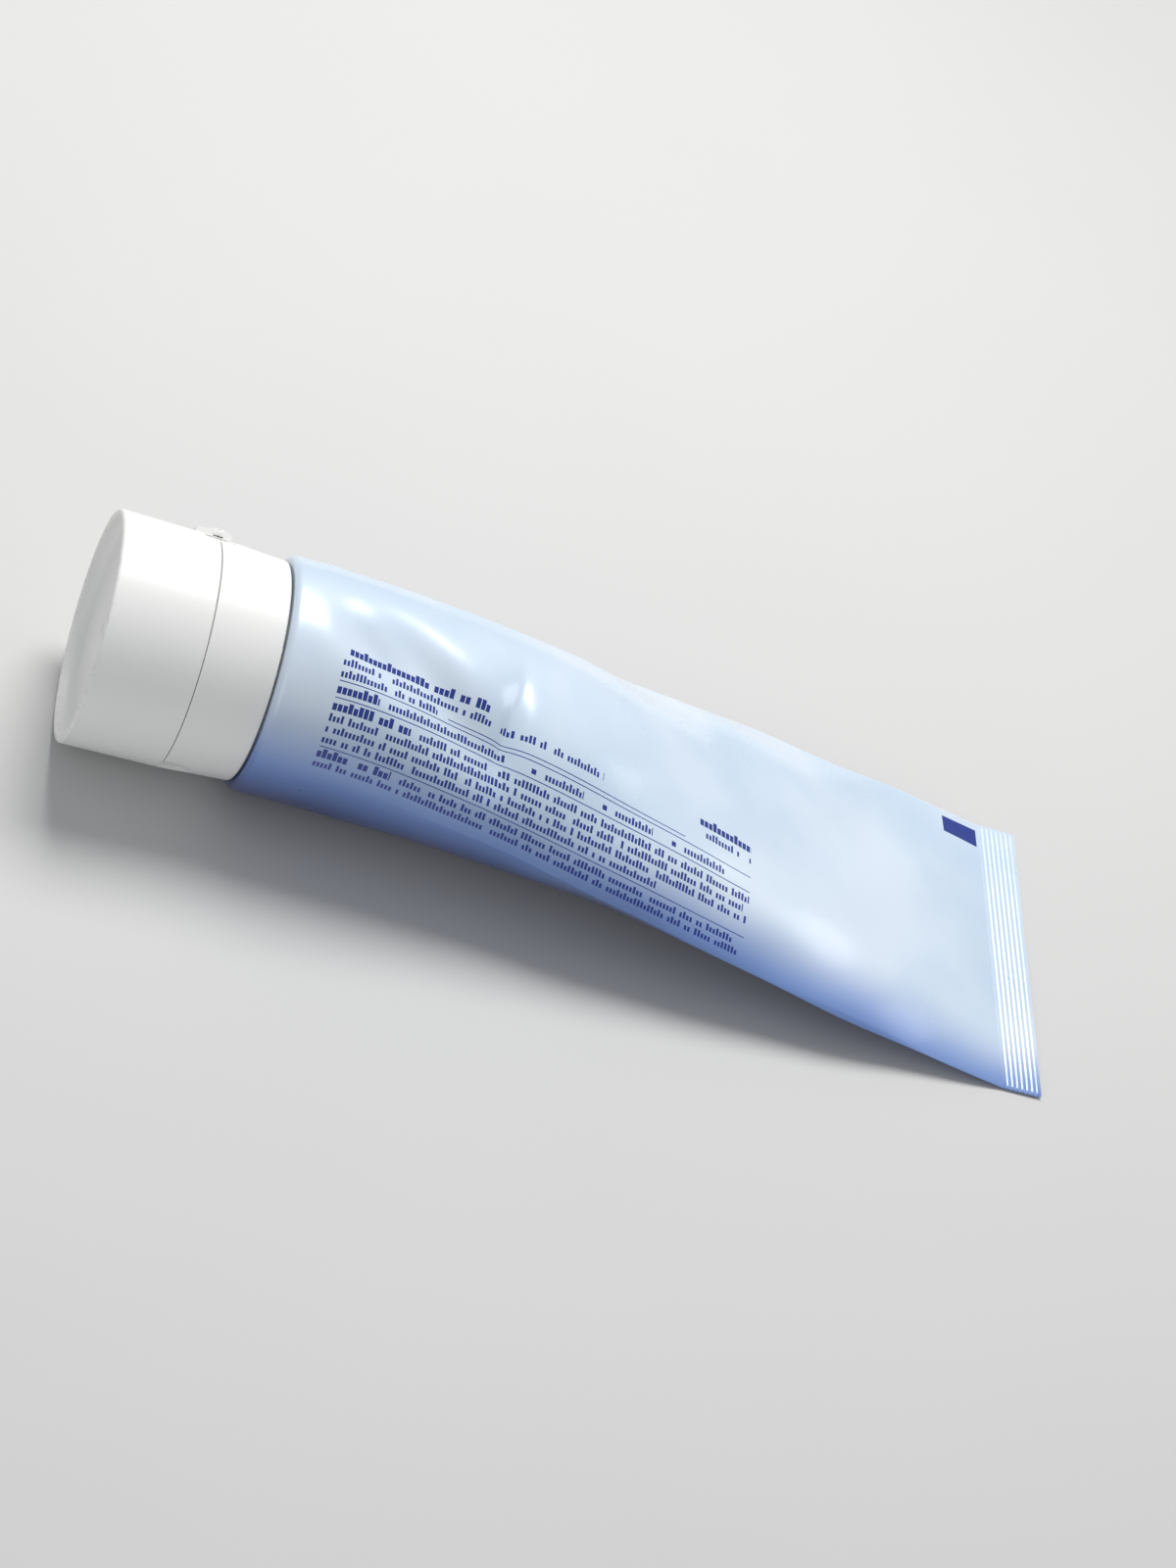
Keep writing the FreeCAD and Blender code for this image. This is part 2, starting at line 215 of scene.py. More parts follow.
def makeTextRowGroup():
    # Upright dashes of uneven height, gathered in words, between Start and End. V, Row and Height are in
    # rows, and U, Start and End in millimetres.
    t = textRowLook
    group, inn, out = newGroup(
        "greekedRow",
        [
            ("U", "NodeSocketFloat", 0.0),
            ("V", "NodeSocketFloat", 0.0),
            ("Row", "NodeSocketFloat", 0.0),
            ("Start", "NodeSocketFloat", 0.0),
            ("End", "NodeSocketFloat", 10.0),
            ("Height", "NodeSocketFloat", 1.0),
            ("Bold", "NodeSocketFloat", 0.0),
        ],
        [("Ink", "NodeSocketFloat")],
    )
    g = inn.outputs
    pitch = maths(group, "MULTIPLY_ADD", g["Bold"], t["boldPitch"], t["pitch"])
    across = maths(group, "DIVIDE", maths(group, "SUBTRACT", g["U"], g["Start"]), pitch)
    cell = maths(group, "FLOOR", across)
    inCell = maths(group, "FRACT", across)
    random = group.nodes.new("ShaderNodeTexWhiteNoise")
    random.noise_dimensions = "2D"
    pair = group.nodes.new("ShaderNodeCombineXYZ")
    group.links.new(cell, pair.inputs[0])
    group.links.new(g["Row"], pair.inputs[1])
    group.links.new(pair.outputs[0], random.inputs["Vector"])
    chance = random.outputs["Value"]
    inWord = maths(group, "GREATER_THAN", chance, t["gaps"])
    dashWidth = maths(group, "MULTIPLY_ADD", g["Bold"], t["boldDash"], t["dash"])
    dash = maths(group, "LESS_THAN", inCell, dashWidth)
    tall = maths(group, "GREATER_THAN", chance, t["shortOnes"])
    dashHeight = maths(group, "MULTIPLY_ADD", tall, 1 - t["shortHeight"], t["shortHeight"])
    top = maths(group, "MULTIPLY", g["Height"], dashHeight)
    up = maths(group, "SUBTRACT", g["Row"], g["V"])
    ink = maths(group, "MULTIPLY", inWord, dash)
    for test, value, limit in (
        ("GREATER_THAN", up, 0.0),
        ("LESS_THAN", up, top),
        ("GREATER_THAN", g["U"], g["Start"]),
        ("LESS_THAN", g["U"], g["End"]),
    ):
        ink = maths(group, "MULTIPLY", ink, maths(group, test, value, limit))
    group.links.new(ink, out.inputs["Ink"])
    return group


handlingGroup = makeHandlingGroup()
textRowGroup = makeTextRowGroup()


def newMaterial(name):
    material = bpy.data.materials.new(name)
    material.use_nodes = True
    tree = material.node_tree
    shader = tree.nodes["Principled BSDF"]
    coordinates = tree.nodes.new("ShaderNodeTexCoord")
    return material, tree, shader, coordinates


def placeGroup(tree, group, **values):
    node = tree.nodes.new("ShaderNodeGroup")
    node.node_tree = group
    for label, value in values.items():
        if isinstance(value, (int, float)):
            node.inputs[label].default_value = value
        else:
            tree.links.new(value, node.inputs[label])
    return node


def bump(tree, shader, height, distance, strength=1.0):
    node = tree.nodes.new("ShaderNodeBump")
    node.inputs["Distance"].default_value = distance
    node.inputs["Strength"].default_value = strength
    tree.links.new(height, node.inputs["Height"])
    tree.links.new(node.outputs["Normal"], shader.inputs["Normal"])


capLook = {
    "white": (0.86, 0.86, 0.845),
    "scuffed": (0.70, 0.70, 0.68),
    "rough": 0.30,
    "smearRough": 0.05,
    "scratchRough": 0.18,
    "scuffRough": 0.25,
    "scuffWidth": 0.9 * mm,
    "grainDepth": 0.02 * mm,
    "ior": 1.49,
}


def makeCapPlastic():
    # moulded white polypropylene: slight flow mottling, satin gloss, and scuffs on the rim that it stands on
    material, tree, shader, coordinates = newMaterial("capPlastic")
    place = coordinates.outputs["Object"]
    marks = placeGroup(tree, handlingGroup, Vector=place, Scratch=0.6)
    split = tree.nodes.new("ShaderNodeSeparateXYZ")
    tree.links.new(place, split.inputs[0])
    rim = ramp(tree, split.outputs[0], lidLow.x, lidLow.x + capLook["scuffWidth"], 1.0, 0.0)
    rub = ramp(tree, noise(tree, place, 900.0, 3.0, 0.6), 0.48, 0.62)
    scuff = maths(tree, "MULTIPLY", rim, rub)
    mottle = ramp(tree, noise(tree, place, 38.0, 2.0), 0.3, 0.7, 0.0, 0.35)
    plain = mixColour(tree, mottle, capLook["white"], tuple(0.965 * c for c in capLook["white"]))
    worn = maths(tree, "MULTIPLY", scuff, 0.5)
    tree.links.new(mixColour(tree, worn, plain, capLook["scuffed"]), shader.inputs["Base Color"])
    rough = maths(tree, "MULTIPLY_ADD", marks.outputs["Smear"], capLook["smearRough"], capLook["rough"])
    rough = maths(tree, "MULTIPLY_ADD", marks.outputs["Scratch"], capLook["scratchRough"], rough)
    rough = maths(tree, "MULTIPLY_ADD", scuff, capLook["scuffRough"], rough, clamp=True)
    tree.links.new(rough, shader.inputs["Roughness"])
    skin = maths(tree, "MULTIPLY_ADD", marks.outputs["Scratch"], -0.5, noise(tree, place, 1500.0, 2.0))
    bump(tree, shader, skin, capLook["grainDepth"], 0.35)
    shader.inputs["IOR"].default_value = capLook["ior"]
    return material


# Places are in millimetres on the sleeve's map: u from the shoulder, and v around it from the far side over
# the top. Each band of painted shade, darker round the lower flank, fades in over its first two numbers and
# out over the other two. The eye mark is given by its middle and half its length.
sleeveLook = {
    "ice": (0.56, 0.69, 0.84),
    "pearl": (0.70, 0.79, 0.90),
    # the two darker blues are painted shade round the lower flank and underneath
    "shadeBlue": (0.17, 0.28, 0.60),
    "shadeNavy": (0.035, 0.055, 0.20),
    "ink": (0.012, 0.035, 0.26),
    "shadeBand": (50.0, 64.0, 106.0, 121.0),
    "darkShadeBand": (60.0, 76.0, 97.0, 113.0),
    "shadeBandWander": 7.0,
    "seamAt": 109.4,
    "seamWidth": 0.5,
    "eyeMarkAlong": (131.0, 3.5),
    "eyeMarkAround": (4.0, 2.0),
    "rough": 0.27,
    "smearRough": 0.08,
    "scratchRough": 0.2,
    "grainDepth": 0.04 * mm,
    "metallic": 0.06,
    "coat": 0.45,
    "coatRough": 0.13,
}

# The printed block, on the same map: its corner, the height of a row and of its dashes, how much taller bold
# is, and then places in rows and in millimetres.
printLook = {
    "left": 9.0,
    "top": 37.0,
    "row": 1.9,
    "rowHeight": 1.25,
    "boldHeight": 1.25,
    "rows": [
        # row, start, end, bold
        (1.0, 0.0, 25.0, 1.0),
        (2.0, 0.0, 46.0, 0.0),
        (3.0, 0.0, 17.0, 0.0),
        (2.0, 66.0, 75.0, 0.0),
        (1.0, 64.0, 75.0, 1.0),
        (4.35, 0.0, 7.0, 1.0),
        (4.35, 8.6, 30.0, 0.0),
        (4.35, 36.0, 43.0, 0.0),
        (4.35, 49.0, 56.0, 0.0),
        (4.35, 62.0, 70.0, 0.0),
        (5.75, 0.0, 13.0, 1.0),
        (5.75, 14.6, 75.0, 0.0),
        (6.7, 0.0, 74.0, 0.0),
        (7.65, 0.0, 75.0, 0.0),
        (8.6, 0.0, 58.0, 0.0),
        (9.95, 0.0, 12.0, 1.0),
        (9.95, 13.6, 73.0, 0.0),
        (10.9, 0.0, 75.0, 0.0),
    ],
    "lines": [
        # row, start, end, width: the rules, the leader and the bullets
        (3.3, 0.0, 75.0, 0.16),
        (4.7, 0.0, 75.0, 0.16),
        (8.95, 0.0, 75.0, 0.16),
        (2.9, 19.0, 62.0, 0.16),
        (4.1, 33.6, 34.4, 0.8),
        (4.1, 46.6, 47.4, 0.8),
        (4.1, 59.6, 60.4, 0.8),
    ],
}


def withinReach(tree, value, middle, reach):
    # 1 where the value is nearer to the middle than the reach, and else 0
    return maths(tree, "LESS_THAN", maths(tree, "ABSOLUTE", maths(tree, "SUBTRACT", value, middle)), reach)


def makeInk(tree, u, v):
    # the printed block on the near flank: rows of dashes, thin rules between them, a leader and three bullets
    rowUnit = maths(tree, "DIVIDE", maths(tree, "SUBTRACT", v, printLook["top"]), printLook["row"])
    across = maths(tree, "SUBTRACT", u, printLook["left"])
    ink = None
    for row, start, end, bold in printLook["rows"]:
        height = printLook["rowHeight"] / printLook["row"] * (printLook["boldHeight"] if bold else 1.0)
        dashes = placeGroup(
            tree, textRowGroup, U=across, V=rowUnit, Row=row, Start=start, End=end, Height=height, Bold=bold
        )
        ink = dashes.outputs["Ink"] if ink is None else maths(tree, "MAXIMUM", ink, dashes.outputs["Ink"])
    for row, start, end, width in printLook["lines"]:
        beside = withinReach(tree, rowUnit, row, 0.5 * width / printLook["row"])
        between = withinReach(tree, across, 0.5 * (start + end), 0.5 * (end - start))
        ink = maths(tree, "MAXIMUM", ink, maths(tree, "MULTIPLY", beside, between))
    return ink


def colourBand(tree, value, band):
    # 0 outside the band and 1 inside, with a smooth fade at each side
    return maths(tree, "SUBTRACT", ramp(tree, value, band[0], band[1]), ramp(tree, value, band[2], band[3]))


def makeSleeveLaminate():
    # printed laminate under gloss varnish: icy blue, painted shade of darker blues round the lower flank and
    # underneath, and dark blue print
    look = sleeveLook
    material, tree, shader, coordinates = newMaterial("sleeveLaminate")
    place = coordinates.outputs["Object"]
    split = tree.nodes.new("ShaderNodeSeparateXYZ")
    tree.links.new(coordinates.outputs["UV"], split.inputs[0])
    u = maths(tree, "MULTIPLY", split.outputs[0], 1000.0)
    v = maths(tree, "MULTIPLY", split.outputs[1], 1000.0)
    marks = placeGroup(tree, handlingGroup, Vector=place, Scratch=0.35)
    shadeWander = maths(tree, "MULTIPLY_ADD", noise(tree, place, 24.0, 2.0), look["shadeBandWander"], v)
    cloud = ramp(tree, noise(tree, place, 30.0, 3.0), 0.3, 0.7)
    ground = mixColour(tree, cloud, look["ice"], look["pearl"])
    # painted shade: the ground darkens to two darker blues round the lower flank and underneath
    ground = mixColour(tree, colourBand(tree, shadeWander, look["shadeBand"]), ground, look["shadeBlue"])
    ground = mixColour(tree, colourBand(tree, shadeWander, look["darkShadeBand"]), ground, look["shadeNavy"])
    eyeAlong = withinReach(tree, u, *look["eyeMarkAlong"])
    eyeAround = withinReach(tree, v, *look["eyeMarkAround"])
    ink = maths(tree, "MAXIMUM", makeInk(tree, u, v), maths(tree, "MULTIPLY", eyeAlong, eyeAround))
    tree.links.new(mixColour(tree, ink, ground, look["ink"]), shader.inputs["Base Color"])
    rough = maths(tree, "MULTIPLY_ADD", marks.outputs["Smear"], look["smearRough"], look["rough"])
    rough = maths(tree, "MULTIPLY_ADD", marks.outputs["Scratch"], look["scratchRough"], rough, clamp=True)
    tree.links.new(rough, shader.inputs["Roughness"])
    skin = maths(tree, "MULTIPLY_ADD", marks.outputs["Scratch"], -0.4, noise(tree, place, 420.0, 2.0))
    fromSeam = maths(tree, "ABSOLUTE", maths(tree, "SUBTRACT", v, look["seamAt"]))
    skin = maths(tree, "ADD", skin, ramp(tree, fromSeam, 0.0, look["seamWidth"], 2.5, 0.0))
    bump(tree, shader, skin, look["grainDepth"], 0.10)
    shader.inputs["Metallic"].default_value = look["metallic"]
    shader.inputs["Coat Weight"].default_value = look["coat"]
    shader.inputs["Coat Roughness"].default_value = look["coatRough"]
    return material


neckLook = {"clear": (0.80, 0.80, 0.78), "cloudy": (0.72, 0.73, 0.72), "rough": 0.38, "grainDepth": 0.02 * mm}


def makeNeckPlastic():
    # natural white polyethylene, waxy and a little cloudy
    material, tree, shader, coordinates = newMaterial("neckPlastic")
    place = coordinates.outputs["Object"]
    cloud = ramp(tree, noise(tree, place, 70.0, 3.0), 0.3, 0.7)
    tree.links.new(mixColour(tree, cloud, neckLook["clear"], neckLook["cloudy"]), shader.inputs["Base Color"])
    tree.links.new(maths(tree, "MULTIPLY_ADD", cloud, 0.12, neckLook["rough"]), shader.inputs["Roughness"])
    bump(tree, shader, noise(tree, place, 1200.0, 2.0), neckLook["grainDepth"], 0.4)
    return material


creamTint = {"pale": (0.88, 0.90, 0.91), "shaded": (0.80, 0.84, 0.87), "rough": 0.22, "depth": 0.2 * mm}


def makeCreamLook():
    # white cream: smooth, wet and faintly streaked
    material, tree, shader, coordinates = newMaterial("creamLook")
    place = coordinates.outputs["Object"]
    streak = ramp(tree, noise(tree, place, 260.0, 4.0, 0.6), 0.35, 0.65)
    colour = mixColour(tree, streak, creamTint["pale"], creamTint["shaded"])
    tree.links.new(colour, shader.inputs["Base Color"])
    tree.links.new(maths(tree, "MULTIPLY_ADD", streak, 0.15, creamTint["rough"]), shader.inputs["Roughness"])
    bump(tree, shader, streak, creamTint["depth"], 0.4)
    return material


capPlastic = makeCapPlastic()
sleeveLaminate = makeSleeveLaminate()
neckPlastic = makeNeckPlastic()
creamLook = makeCreamLook()
print("stage 2: materials made")


def dress(thing, material):
    thing.data.materials.clear()
    thing.data.materials.append(material)


# The sleeve's shape, in metres, and how many points go round it. Its front stays round for the length
# "round". A low easing turns sharply into the taper, a low flankEdge keeps the crimp flat up to its edges, and
# the lip's last row steps back by lipBreak.
sleeveShape = {
    "radius": 0.5 * (sleeveHigh.z - sleeveLow.z),
    "length": sleeveHigh.x - sleeveLow.x,
    "crimpHalfWidth": 0.5 * (sleeveHigh.y - sleeveLow.y),
    "wall": 0.38 * mm,
    "round": 9.0 * mm,
    "crimp": 7.0 * mm,
    "easing": 0.07,
    "bow": 0.95 * mm,
    "flankEdge": 0.12,
    "corner": 1.2 * mm,
    "lip": 0.8 * mm,
    "lipBreak": 0.08 * mm,
    "ribPitch": 0.9 * mm,
    "ribHeight": 0.07 * mm,
    "columns": 240,
}

# Dents, in millimetres and degrees: place along the sleeve, angle around it from the far side over the top,
# reach along and across, turn, depth, and how much of it is a sharp fold.
sleeveDents = [
    {"along": 14.0, "angle": 112.0, "long": 7.5, "wide": 2.7, "turn": 38.0, "depth": 1.7, "sharp": 0.0},
    {"along": 24.0, "angle": 113.0, "long": 8.5, "wide": 3.2, "turn": 40.0, "depth": 2.2, "sharp": 0.0},
    {"along": 38.0, "angle": 123.0, "long": 6.5, "wide": 4.0, "turn": 96.0, "depth": 2.3, "sharp": 1.0},
    {"along": 33.0, "angle": 138.0, "long": 8.0, "wide": 4.5, "turn": 12.0, "depth": 1.0, "sharp": 0.0},
    {"along": 62.0, "angle": 118.0, "long": 16.0, "wide": 6.0, "turn": -14.0, "depth": 0.7, "sharp": 0.0},
    {"along": 88.0, "angle": 96.0, "long": 17.0, "wide": 8.0, "turn": 10.0, "depth": 1.0, "sharp": 0.0},
    {"along": 71.0, "angle": 40.0, "long": 13.0, "wide": 5.0, "turn": 24.0, "depth": 0.9, "sharp": 0.0},
    {"along": 40.0, "angle": 20.0, "long": 10.0, "wide": 4.0, "turn": -30.0, "depth": 0.8, "sharp": 1.0},
    {"along": 104.0, "angle": 70.0, "long": 12.0, "wide": 6.0, "turn": -20.0, "depth": 0.6, "sharp": 0.0},
    {"along": 52.0, "angle": 190.0, "long": 12.0, "wide": 5.0, "turn": 12.0, "depth": 0.6, "sharp": 0.0},
]

# low waves and ripples over the whole sleeve, and where they and the dents fade out
sleeveWaves = {
    "waveDepth": 0.16 * mm,
    "waveLength": 7.3 * mm,
    "waveSway": 2.1,
    "rippleDepth": 0.10 * mm,
    "rippleLength": 3.9 * mm,
    "frontFade": (2.5 * mm, 12 * mm),
    "crimpFade": 12 * mm,
    "underCalm": 0.85,
    "underReach": 0.55,
}


def taperShare(along):
    # 0 over the round front, and a straight rise from there to 1 at the crimp
    s = sleeveShape
    return np.clip((along - s["round"]) / (s["length"] - s["crimp"] - s["round"]), 0, 1)


def flatShare(along):
    # the taper's share, rounded where it starts as sqrt(s^2 + e^2) - e, and scaled to reach 1
    e = sleeveShape["easing"]
    return (np.sqrt(taperShare(along) ** 2 + e**2) - e) / (math.sqrt(1 + e**2) - e)


def sleeveSection(along, angle, inset):
    # A mix of a circle and a flat line of the same half girth:
    # y = (1-t) r cos a + t r (pi/2 - a), and z = (1-t) r sin a.
    # It is widened to keep its girth, its two flanks stay a wall apart, and its lowest line rises on the bow.
    s = sleeveShape
    t = flatShare(along)
    half = np.linspace(0, math.pi, 361)[None, :]
    shares = np.linspace(0, 1, 65)[:, None]
    speeds = np.hypot((1 - shares) * np.sin(half) + shares, (1 - shares) * np.cos(half))
    widen = 1 / np.interp(t, shares[:, 0], speeds.mean(axis=1))  # the circle's girth over the mix's
    radius = s["radius"] - inset
    fold = np.where(angle <= math.pi, 0.5 * math.pi - angle, angle - 1.5 * math.pi)
    line = s["crimpHalfWidth"] / (0.5 * math.pi * s["radius"])
    y = widen * radius * ((1 - t) * np.cos(angle) + t * fold * line)
    side = np.where(angle <= math.pi, 1, -1) * np.abs(np.sin(angle)) ** s["flankEdge"]
    z = widen * radius * (1 - t) * np.sin(angle) + t * (s["wall"] - inset) * side
    middle = widen * (1 - t) * s["radius"] + t * (s["wall"] + s["ribHeight"])
    middle += s["bow"] * np.sin(math.pi * taperShare(along))
    return np.stack([sleeveLow.x + along, y, z + middle], -1)


def dentDepth(along, angle):
    # The sum of bells exp(-a^2/2 - b^2/2) over turned ellipses, where a sharp one falls away from a crease
    # as exp(-1.6 |b|), more steeply on one side. To it come a low wave sin(x/l + k sin 2a) cos(3a + 0.4) and
    # a ripple sin(x/l + 5a). It all fades out at the round front, at the crimp and underneath.
    s, w = sleeveShape, sleeveWaves
    arc = angle * s["radius"]
    depth = np.zeros(along.shape)
    for dent in sleeveDents:
        p = along - dent["along"] * mm
        q = arc - math.radians(dent["angle"]) * s["radius"]
        turn = math.radians(dent["turn"])
        a = (p * math.cos(turn) + q * math.sin(turn)) / (dent["long"] * mm)
        b = (q * math.cos(turn) - p * math.sin(turn)) / (dent["wide"] * mm)
        bell = np.exp(-0.5 * (a**2 + b**2))
        crease = np.exp(-0.5 * a**2 - 1.6 * np.sqrt(b**2 + 0.004)) * np.where(b > 0, 1, np.exp(-1.5 * b**2))
        depth += dent["depth"] * mm * (dent["sharp"] * crease + (1 - dent["sharp"]) * bell)
    wave = np.sin(along / w["waveLength"] + w["waveSway"] * np.sin(2 * angle))
    depth += w["waveDepth"] * wave * np.cos(3 * angle + 0.4)
    depth += w["rippleDepth"] * np.sin(along / w["rippleLength"] + 5 * angle)
    start = smoothStep(*w["frontFade"], along)
    end = smoothStep(0, w["crimpFade"], s["length"] - s["crimp"] - along)
    under = 1 - w["underCalm"] * np.exp(-0.5 * ((angle - 1.5 * math.pi) / w["underReach"]) ** 2)
    return depth * start * end * under


def sleeveSurface(along, inset, columns):
    # The section at each place along, moved along the outside's inward normal by the dents, and up and down
    # at the crimp by its ribs as a sine. The normal is the cross product of small steps around and along.
    # inset is the depth below the outside at each place.
    s = sleeveShape
    angle = np.linspace(0, 2 * math.pi, columns, endpoint=False)
    along, angle = np.meshgrid(along, angle, indexing="ij")
    points = sleeveSection(along, angle, inset[:, None])
    step, turn = 0.05 * mm, 0.001
    ahead = sleeveSection(along + step, angle, 0) - sleeveSection(along - step, angle, 0)
    aside = sleeveSection(along, angle + turn, 0) - sleeveSection(along, angle - turn, 0)
    outward = np.cross(aside, ahead)
    outward /= np.linalg.norm(outward, axis=-1, keepdims=True) + 1e-12
    points -= outward * dentDepth(along, angle)[..., None]
    sealed = smoothStep(0.2 * mm, 0.9 * mm, along - (s["length"] - s["crimp"]))
    sealed *= smoothStep(0.1 * mm, 0.9 * mm, s["length"] - along)
    points[..., 2] += s["ribHeight"] * sealed * np.sin(2 * math.pi * along / s["ribPitch"])
    return points


def foldShut(row):
    # the mean of each point and its mirror across the row, so that the row closes on its own middle line
    return 0.5 * (row + np.roll(row[::-1], 1, axis=0))


def makeSleeve():
    # A closed shell. Its rows run from inside the crimp forward along the inside, over the edge that turns
    # in on the shoulder, and back along the outside to the end of the crimp. Both end rows fold shut.
    s = sleeveShape
    crimpStart = s["length"] - s["crimp"]
    quarter = np.linspace(0, 0.5 * math.pi, 9)
    inside = np.linspace(crimpStart - 0.4 * mm, s["corner"], 56)
    cornerIn = (s["corner"] - s["wall"]) * np.stack([1 - np.sin(quarter), 1 - np.cos(quarter)])
    outside = np.arange(s["corner"], crimpStart, 0.7 * mm)
    crimp = np.linspace(crimpStart, s["length"], 49)
    cornerOut = s["corner"] * np.stack([1 - np.cos(quarter), 1 - np.sin(quarter)])
    lip = s["corner"] + s["lip"]
    along = np.concatenate([
        inside[:1], inside, s["wall"] + cornerIn[0][1:], [s["wall"], 0, 0], cornerOut[0][:-1],
        outside, crimp, crimp[-1:],
    ])
    inset = np.concatenate([
        np.full(1 + len(inside), s["wall"]), s["wall"] + cornerIn[1][1:], [lip, lip, lip - s["lipBreak"]],
        cornerOut[1][:-1], np.zeros(len(outside) + len(crimp) + 1),
    ])
    points = sleeveSurface(along, inset, s["columns"])
    points[0], points[-1] = foldShut(points[0]), foldShut(points[-1])
    arc = np.linspace(0, 2 * math.pi * s["radius"], s["columns"] + 1)
    sleeve = surfaceObject("sleeveSkin", points, ("fold", "fold"), along, arc)
    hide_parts("sleeve")
    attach(sleeve, "tube_body")
    dress(sleeve, sleeveLaminate)
    return sleeve


# the cream's shape, in metres
creamShape = {
    "gap": 0.14 * mm,
    "noseRadius": 3.0 * mm,
    "throatRadius": 17.0 * mm,
    "coneEnd": 2.5 * mm,
    "throatEnd": 4.15 * mm,
    "columns": 144,
}


def makeCream():
    # A turned front (a flat nose, a cone up to the throat and a step out to the sleeve), and behind it the
    # sleeve's own dented surface, set in by the wall and a small gap. The last row folds shut.
    c, s = creamShape, sleeveShape
    nose = creamLow.x - sleeveLow.x
    end = creamHigh.x - sleeveLow.x
    depth = s["wall"] + c["gap"]
    noseInset, throatInset = s["radius"] - c["noseRadius"], s["radius"] - c["throatRadius"]
    turned = np.array([
        [nose, s["radius"]],
        [nose, noseInset + 0.5 * c["noseRadius"]],
        [nose, noseInset],
        [nose + 0.1 * mm, noseInset - 0.2 * mm],
        [c["coneEnd"], throatInset],
        [c["throatEnd"], throatInset],
        [c["throatEnd"], depth],
    ])
    behind = np.linspace(c["throatEnd"], end, 110)
    along = np.concatenate([turned[:, 0], behind[1:], behind[-1:]])
    inset = np.concatenate([turned[:, 1], np.full(len(behind), depth)])
    points = sleeveSurface(along, inset, c["columns"])
    points[-1] = foldShut(points[-1])
    cream = surfaceObject("creamBody", points, ("pole", "fold"))
    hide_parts("cream_fill")
    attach(cream, "tube_body")
    dress(cream, creamLook)


# Hinge strips, in millimetres and degrees: half length, half width, thickness, depth below the hinge's
# outer face, how much of the thickness goes at the waist, the waist's half length, and how far the under
# face follows the cap's round wall. Each strip lies at its own turn from the hinge.
filmShape = {
    "reach": 0.8,
    "half": 4.5,
    "thick": 0.8,
    "depth": 0.0,
    "waist": 0.45,
    "waistReach": 0.3,
    "curl": 1.0,
}
strapShape = {
    "reach": 2.3,
    "half": 0.8,
    "thick": 0.5,
    "depth": 1.0,
    "waist": 0.45,
    "waistReach": 1.1,
    "curl": 0.0,
}
hingeStrips = {
    "hingeFilm": {"turn": 0.0, **filmShape},
    "strapLower": {"turn": -22.5, **strapShape},
    "strapUpper": {"turn": 22.5, **strapShape},
}


def makeStrip(name, shape):
    # A strip along X over the parting line. Its section is the superellipse
    # y = w cos^(1/4) a, z = h sin^(1/4) a.
    # The upper h thins to a waist by the bell exp(-(x/r)^2), and the under face drops by R - sqrt(R^2 - y^2)
    # to lie on a round wall of radius R. Both ends are flat and close on a pole.
    place = np.linspace(-shape["reach"], shape["reach"], 31)
    place = np.concatenate([place[:1], place, place[-1:]])
    angle = np.linspace(0, 2 * math.pi, 48, endpoint=False)
    across = np.sign(np.cos(angle)) * np.abs(np.cos(angle)) ** 0.25
    up = np.sign(np.sin(angle)) * np.abs(np.sin(angle)) ** 0.25
    notch = 2 * shape["waist"] * np.exp(-((place / shape["waistReach"]) ** 2))
    half = 0.5 * shape["thick"] * (1 - notch[:, None] * (up[None, :] > 0))
    spread = np.ones(len(place))
    spread[[0, -1]] = 0  # the end rows are the poles
    turn = hingeTurn + math.radians(shape["turn"])
    middle = hingeRadius - (shape["depth"] + 0.5 * shape["thick"]) * mm
    side = shape["half"] * spread[:, None] * across[None, :] * mm
    rise = middle + half * spread[:, None] * up[None, :] * mm
    rise -= 0.5 * shape["curl"] * (1 - up) * (hingeRadius - np.sqrt(hingeRadius**2 - side**2))
    points = np.stack([
        hingePoint[0] + place[:, None] * mm + 0 * side,
        rise * math.cos(turn) - side * math.sin(turn),
        axisHeight + rise * math.sin(turn) + side * math.cos(turn),
    ], -1)
    strip = surfaceObject(name, points, ("pole", "pole"))
    dress(strip, capPlastic)
    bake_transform(strip)
    return strip


# the moulding gate's mark on the recessed end of the lid, in millimetres
gateShape = {"endDepth": 2.4, "ring": 1.9, "height": 0.22, "tip": 0.35}


def makeGateMark():
    # A low turned button on the lid's axis: a sunk middle with a tip, a rounded ring and a foot just inside
    # the lid's end wall. Each radius and height of its outline is carried round as (h, r cos a, r sin a).
    g = gateShape
    tip, ring = g["tip"], g["ring"]
    radius = np.array([0, tip, tip + 0.05, 0.6, 0.75, 1.4, 1.6, ring, ring, ring, 0]) * mm
    height = np.array([0.5, 0.5, 1.3, 1.1, 0.45, 0.45, 0.35, 0.1, 0.0, -1.0, -1.0]) * g["height"] * mm
    angle = np.linspace(0, 2 * math.pi, 64, endpoint=False)
    place = lidLow.x + g["endDepth"] * mm - height
    points = np.stack([
        place[:, None] + 0 * angle[None, :],
        radius[:, None] * np.cos(angle)[None, :],
        axisHeight + radius[:, None] * np.sin(angle)[None, :],
    ], -1)
    mark = surfaceObject("gateMark", points, ("pole", "pole"))
    dress(mark, capPlastic)
    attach(mark, "flip_lid")


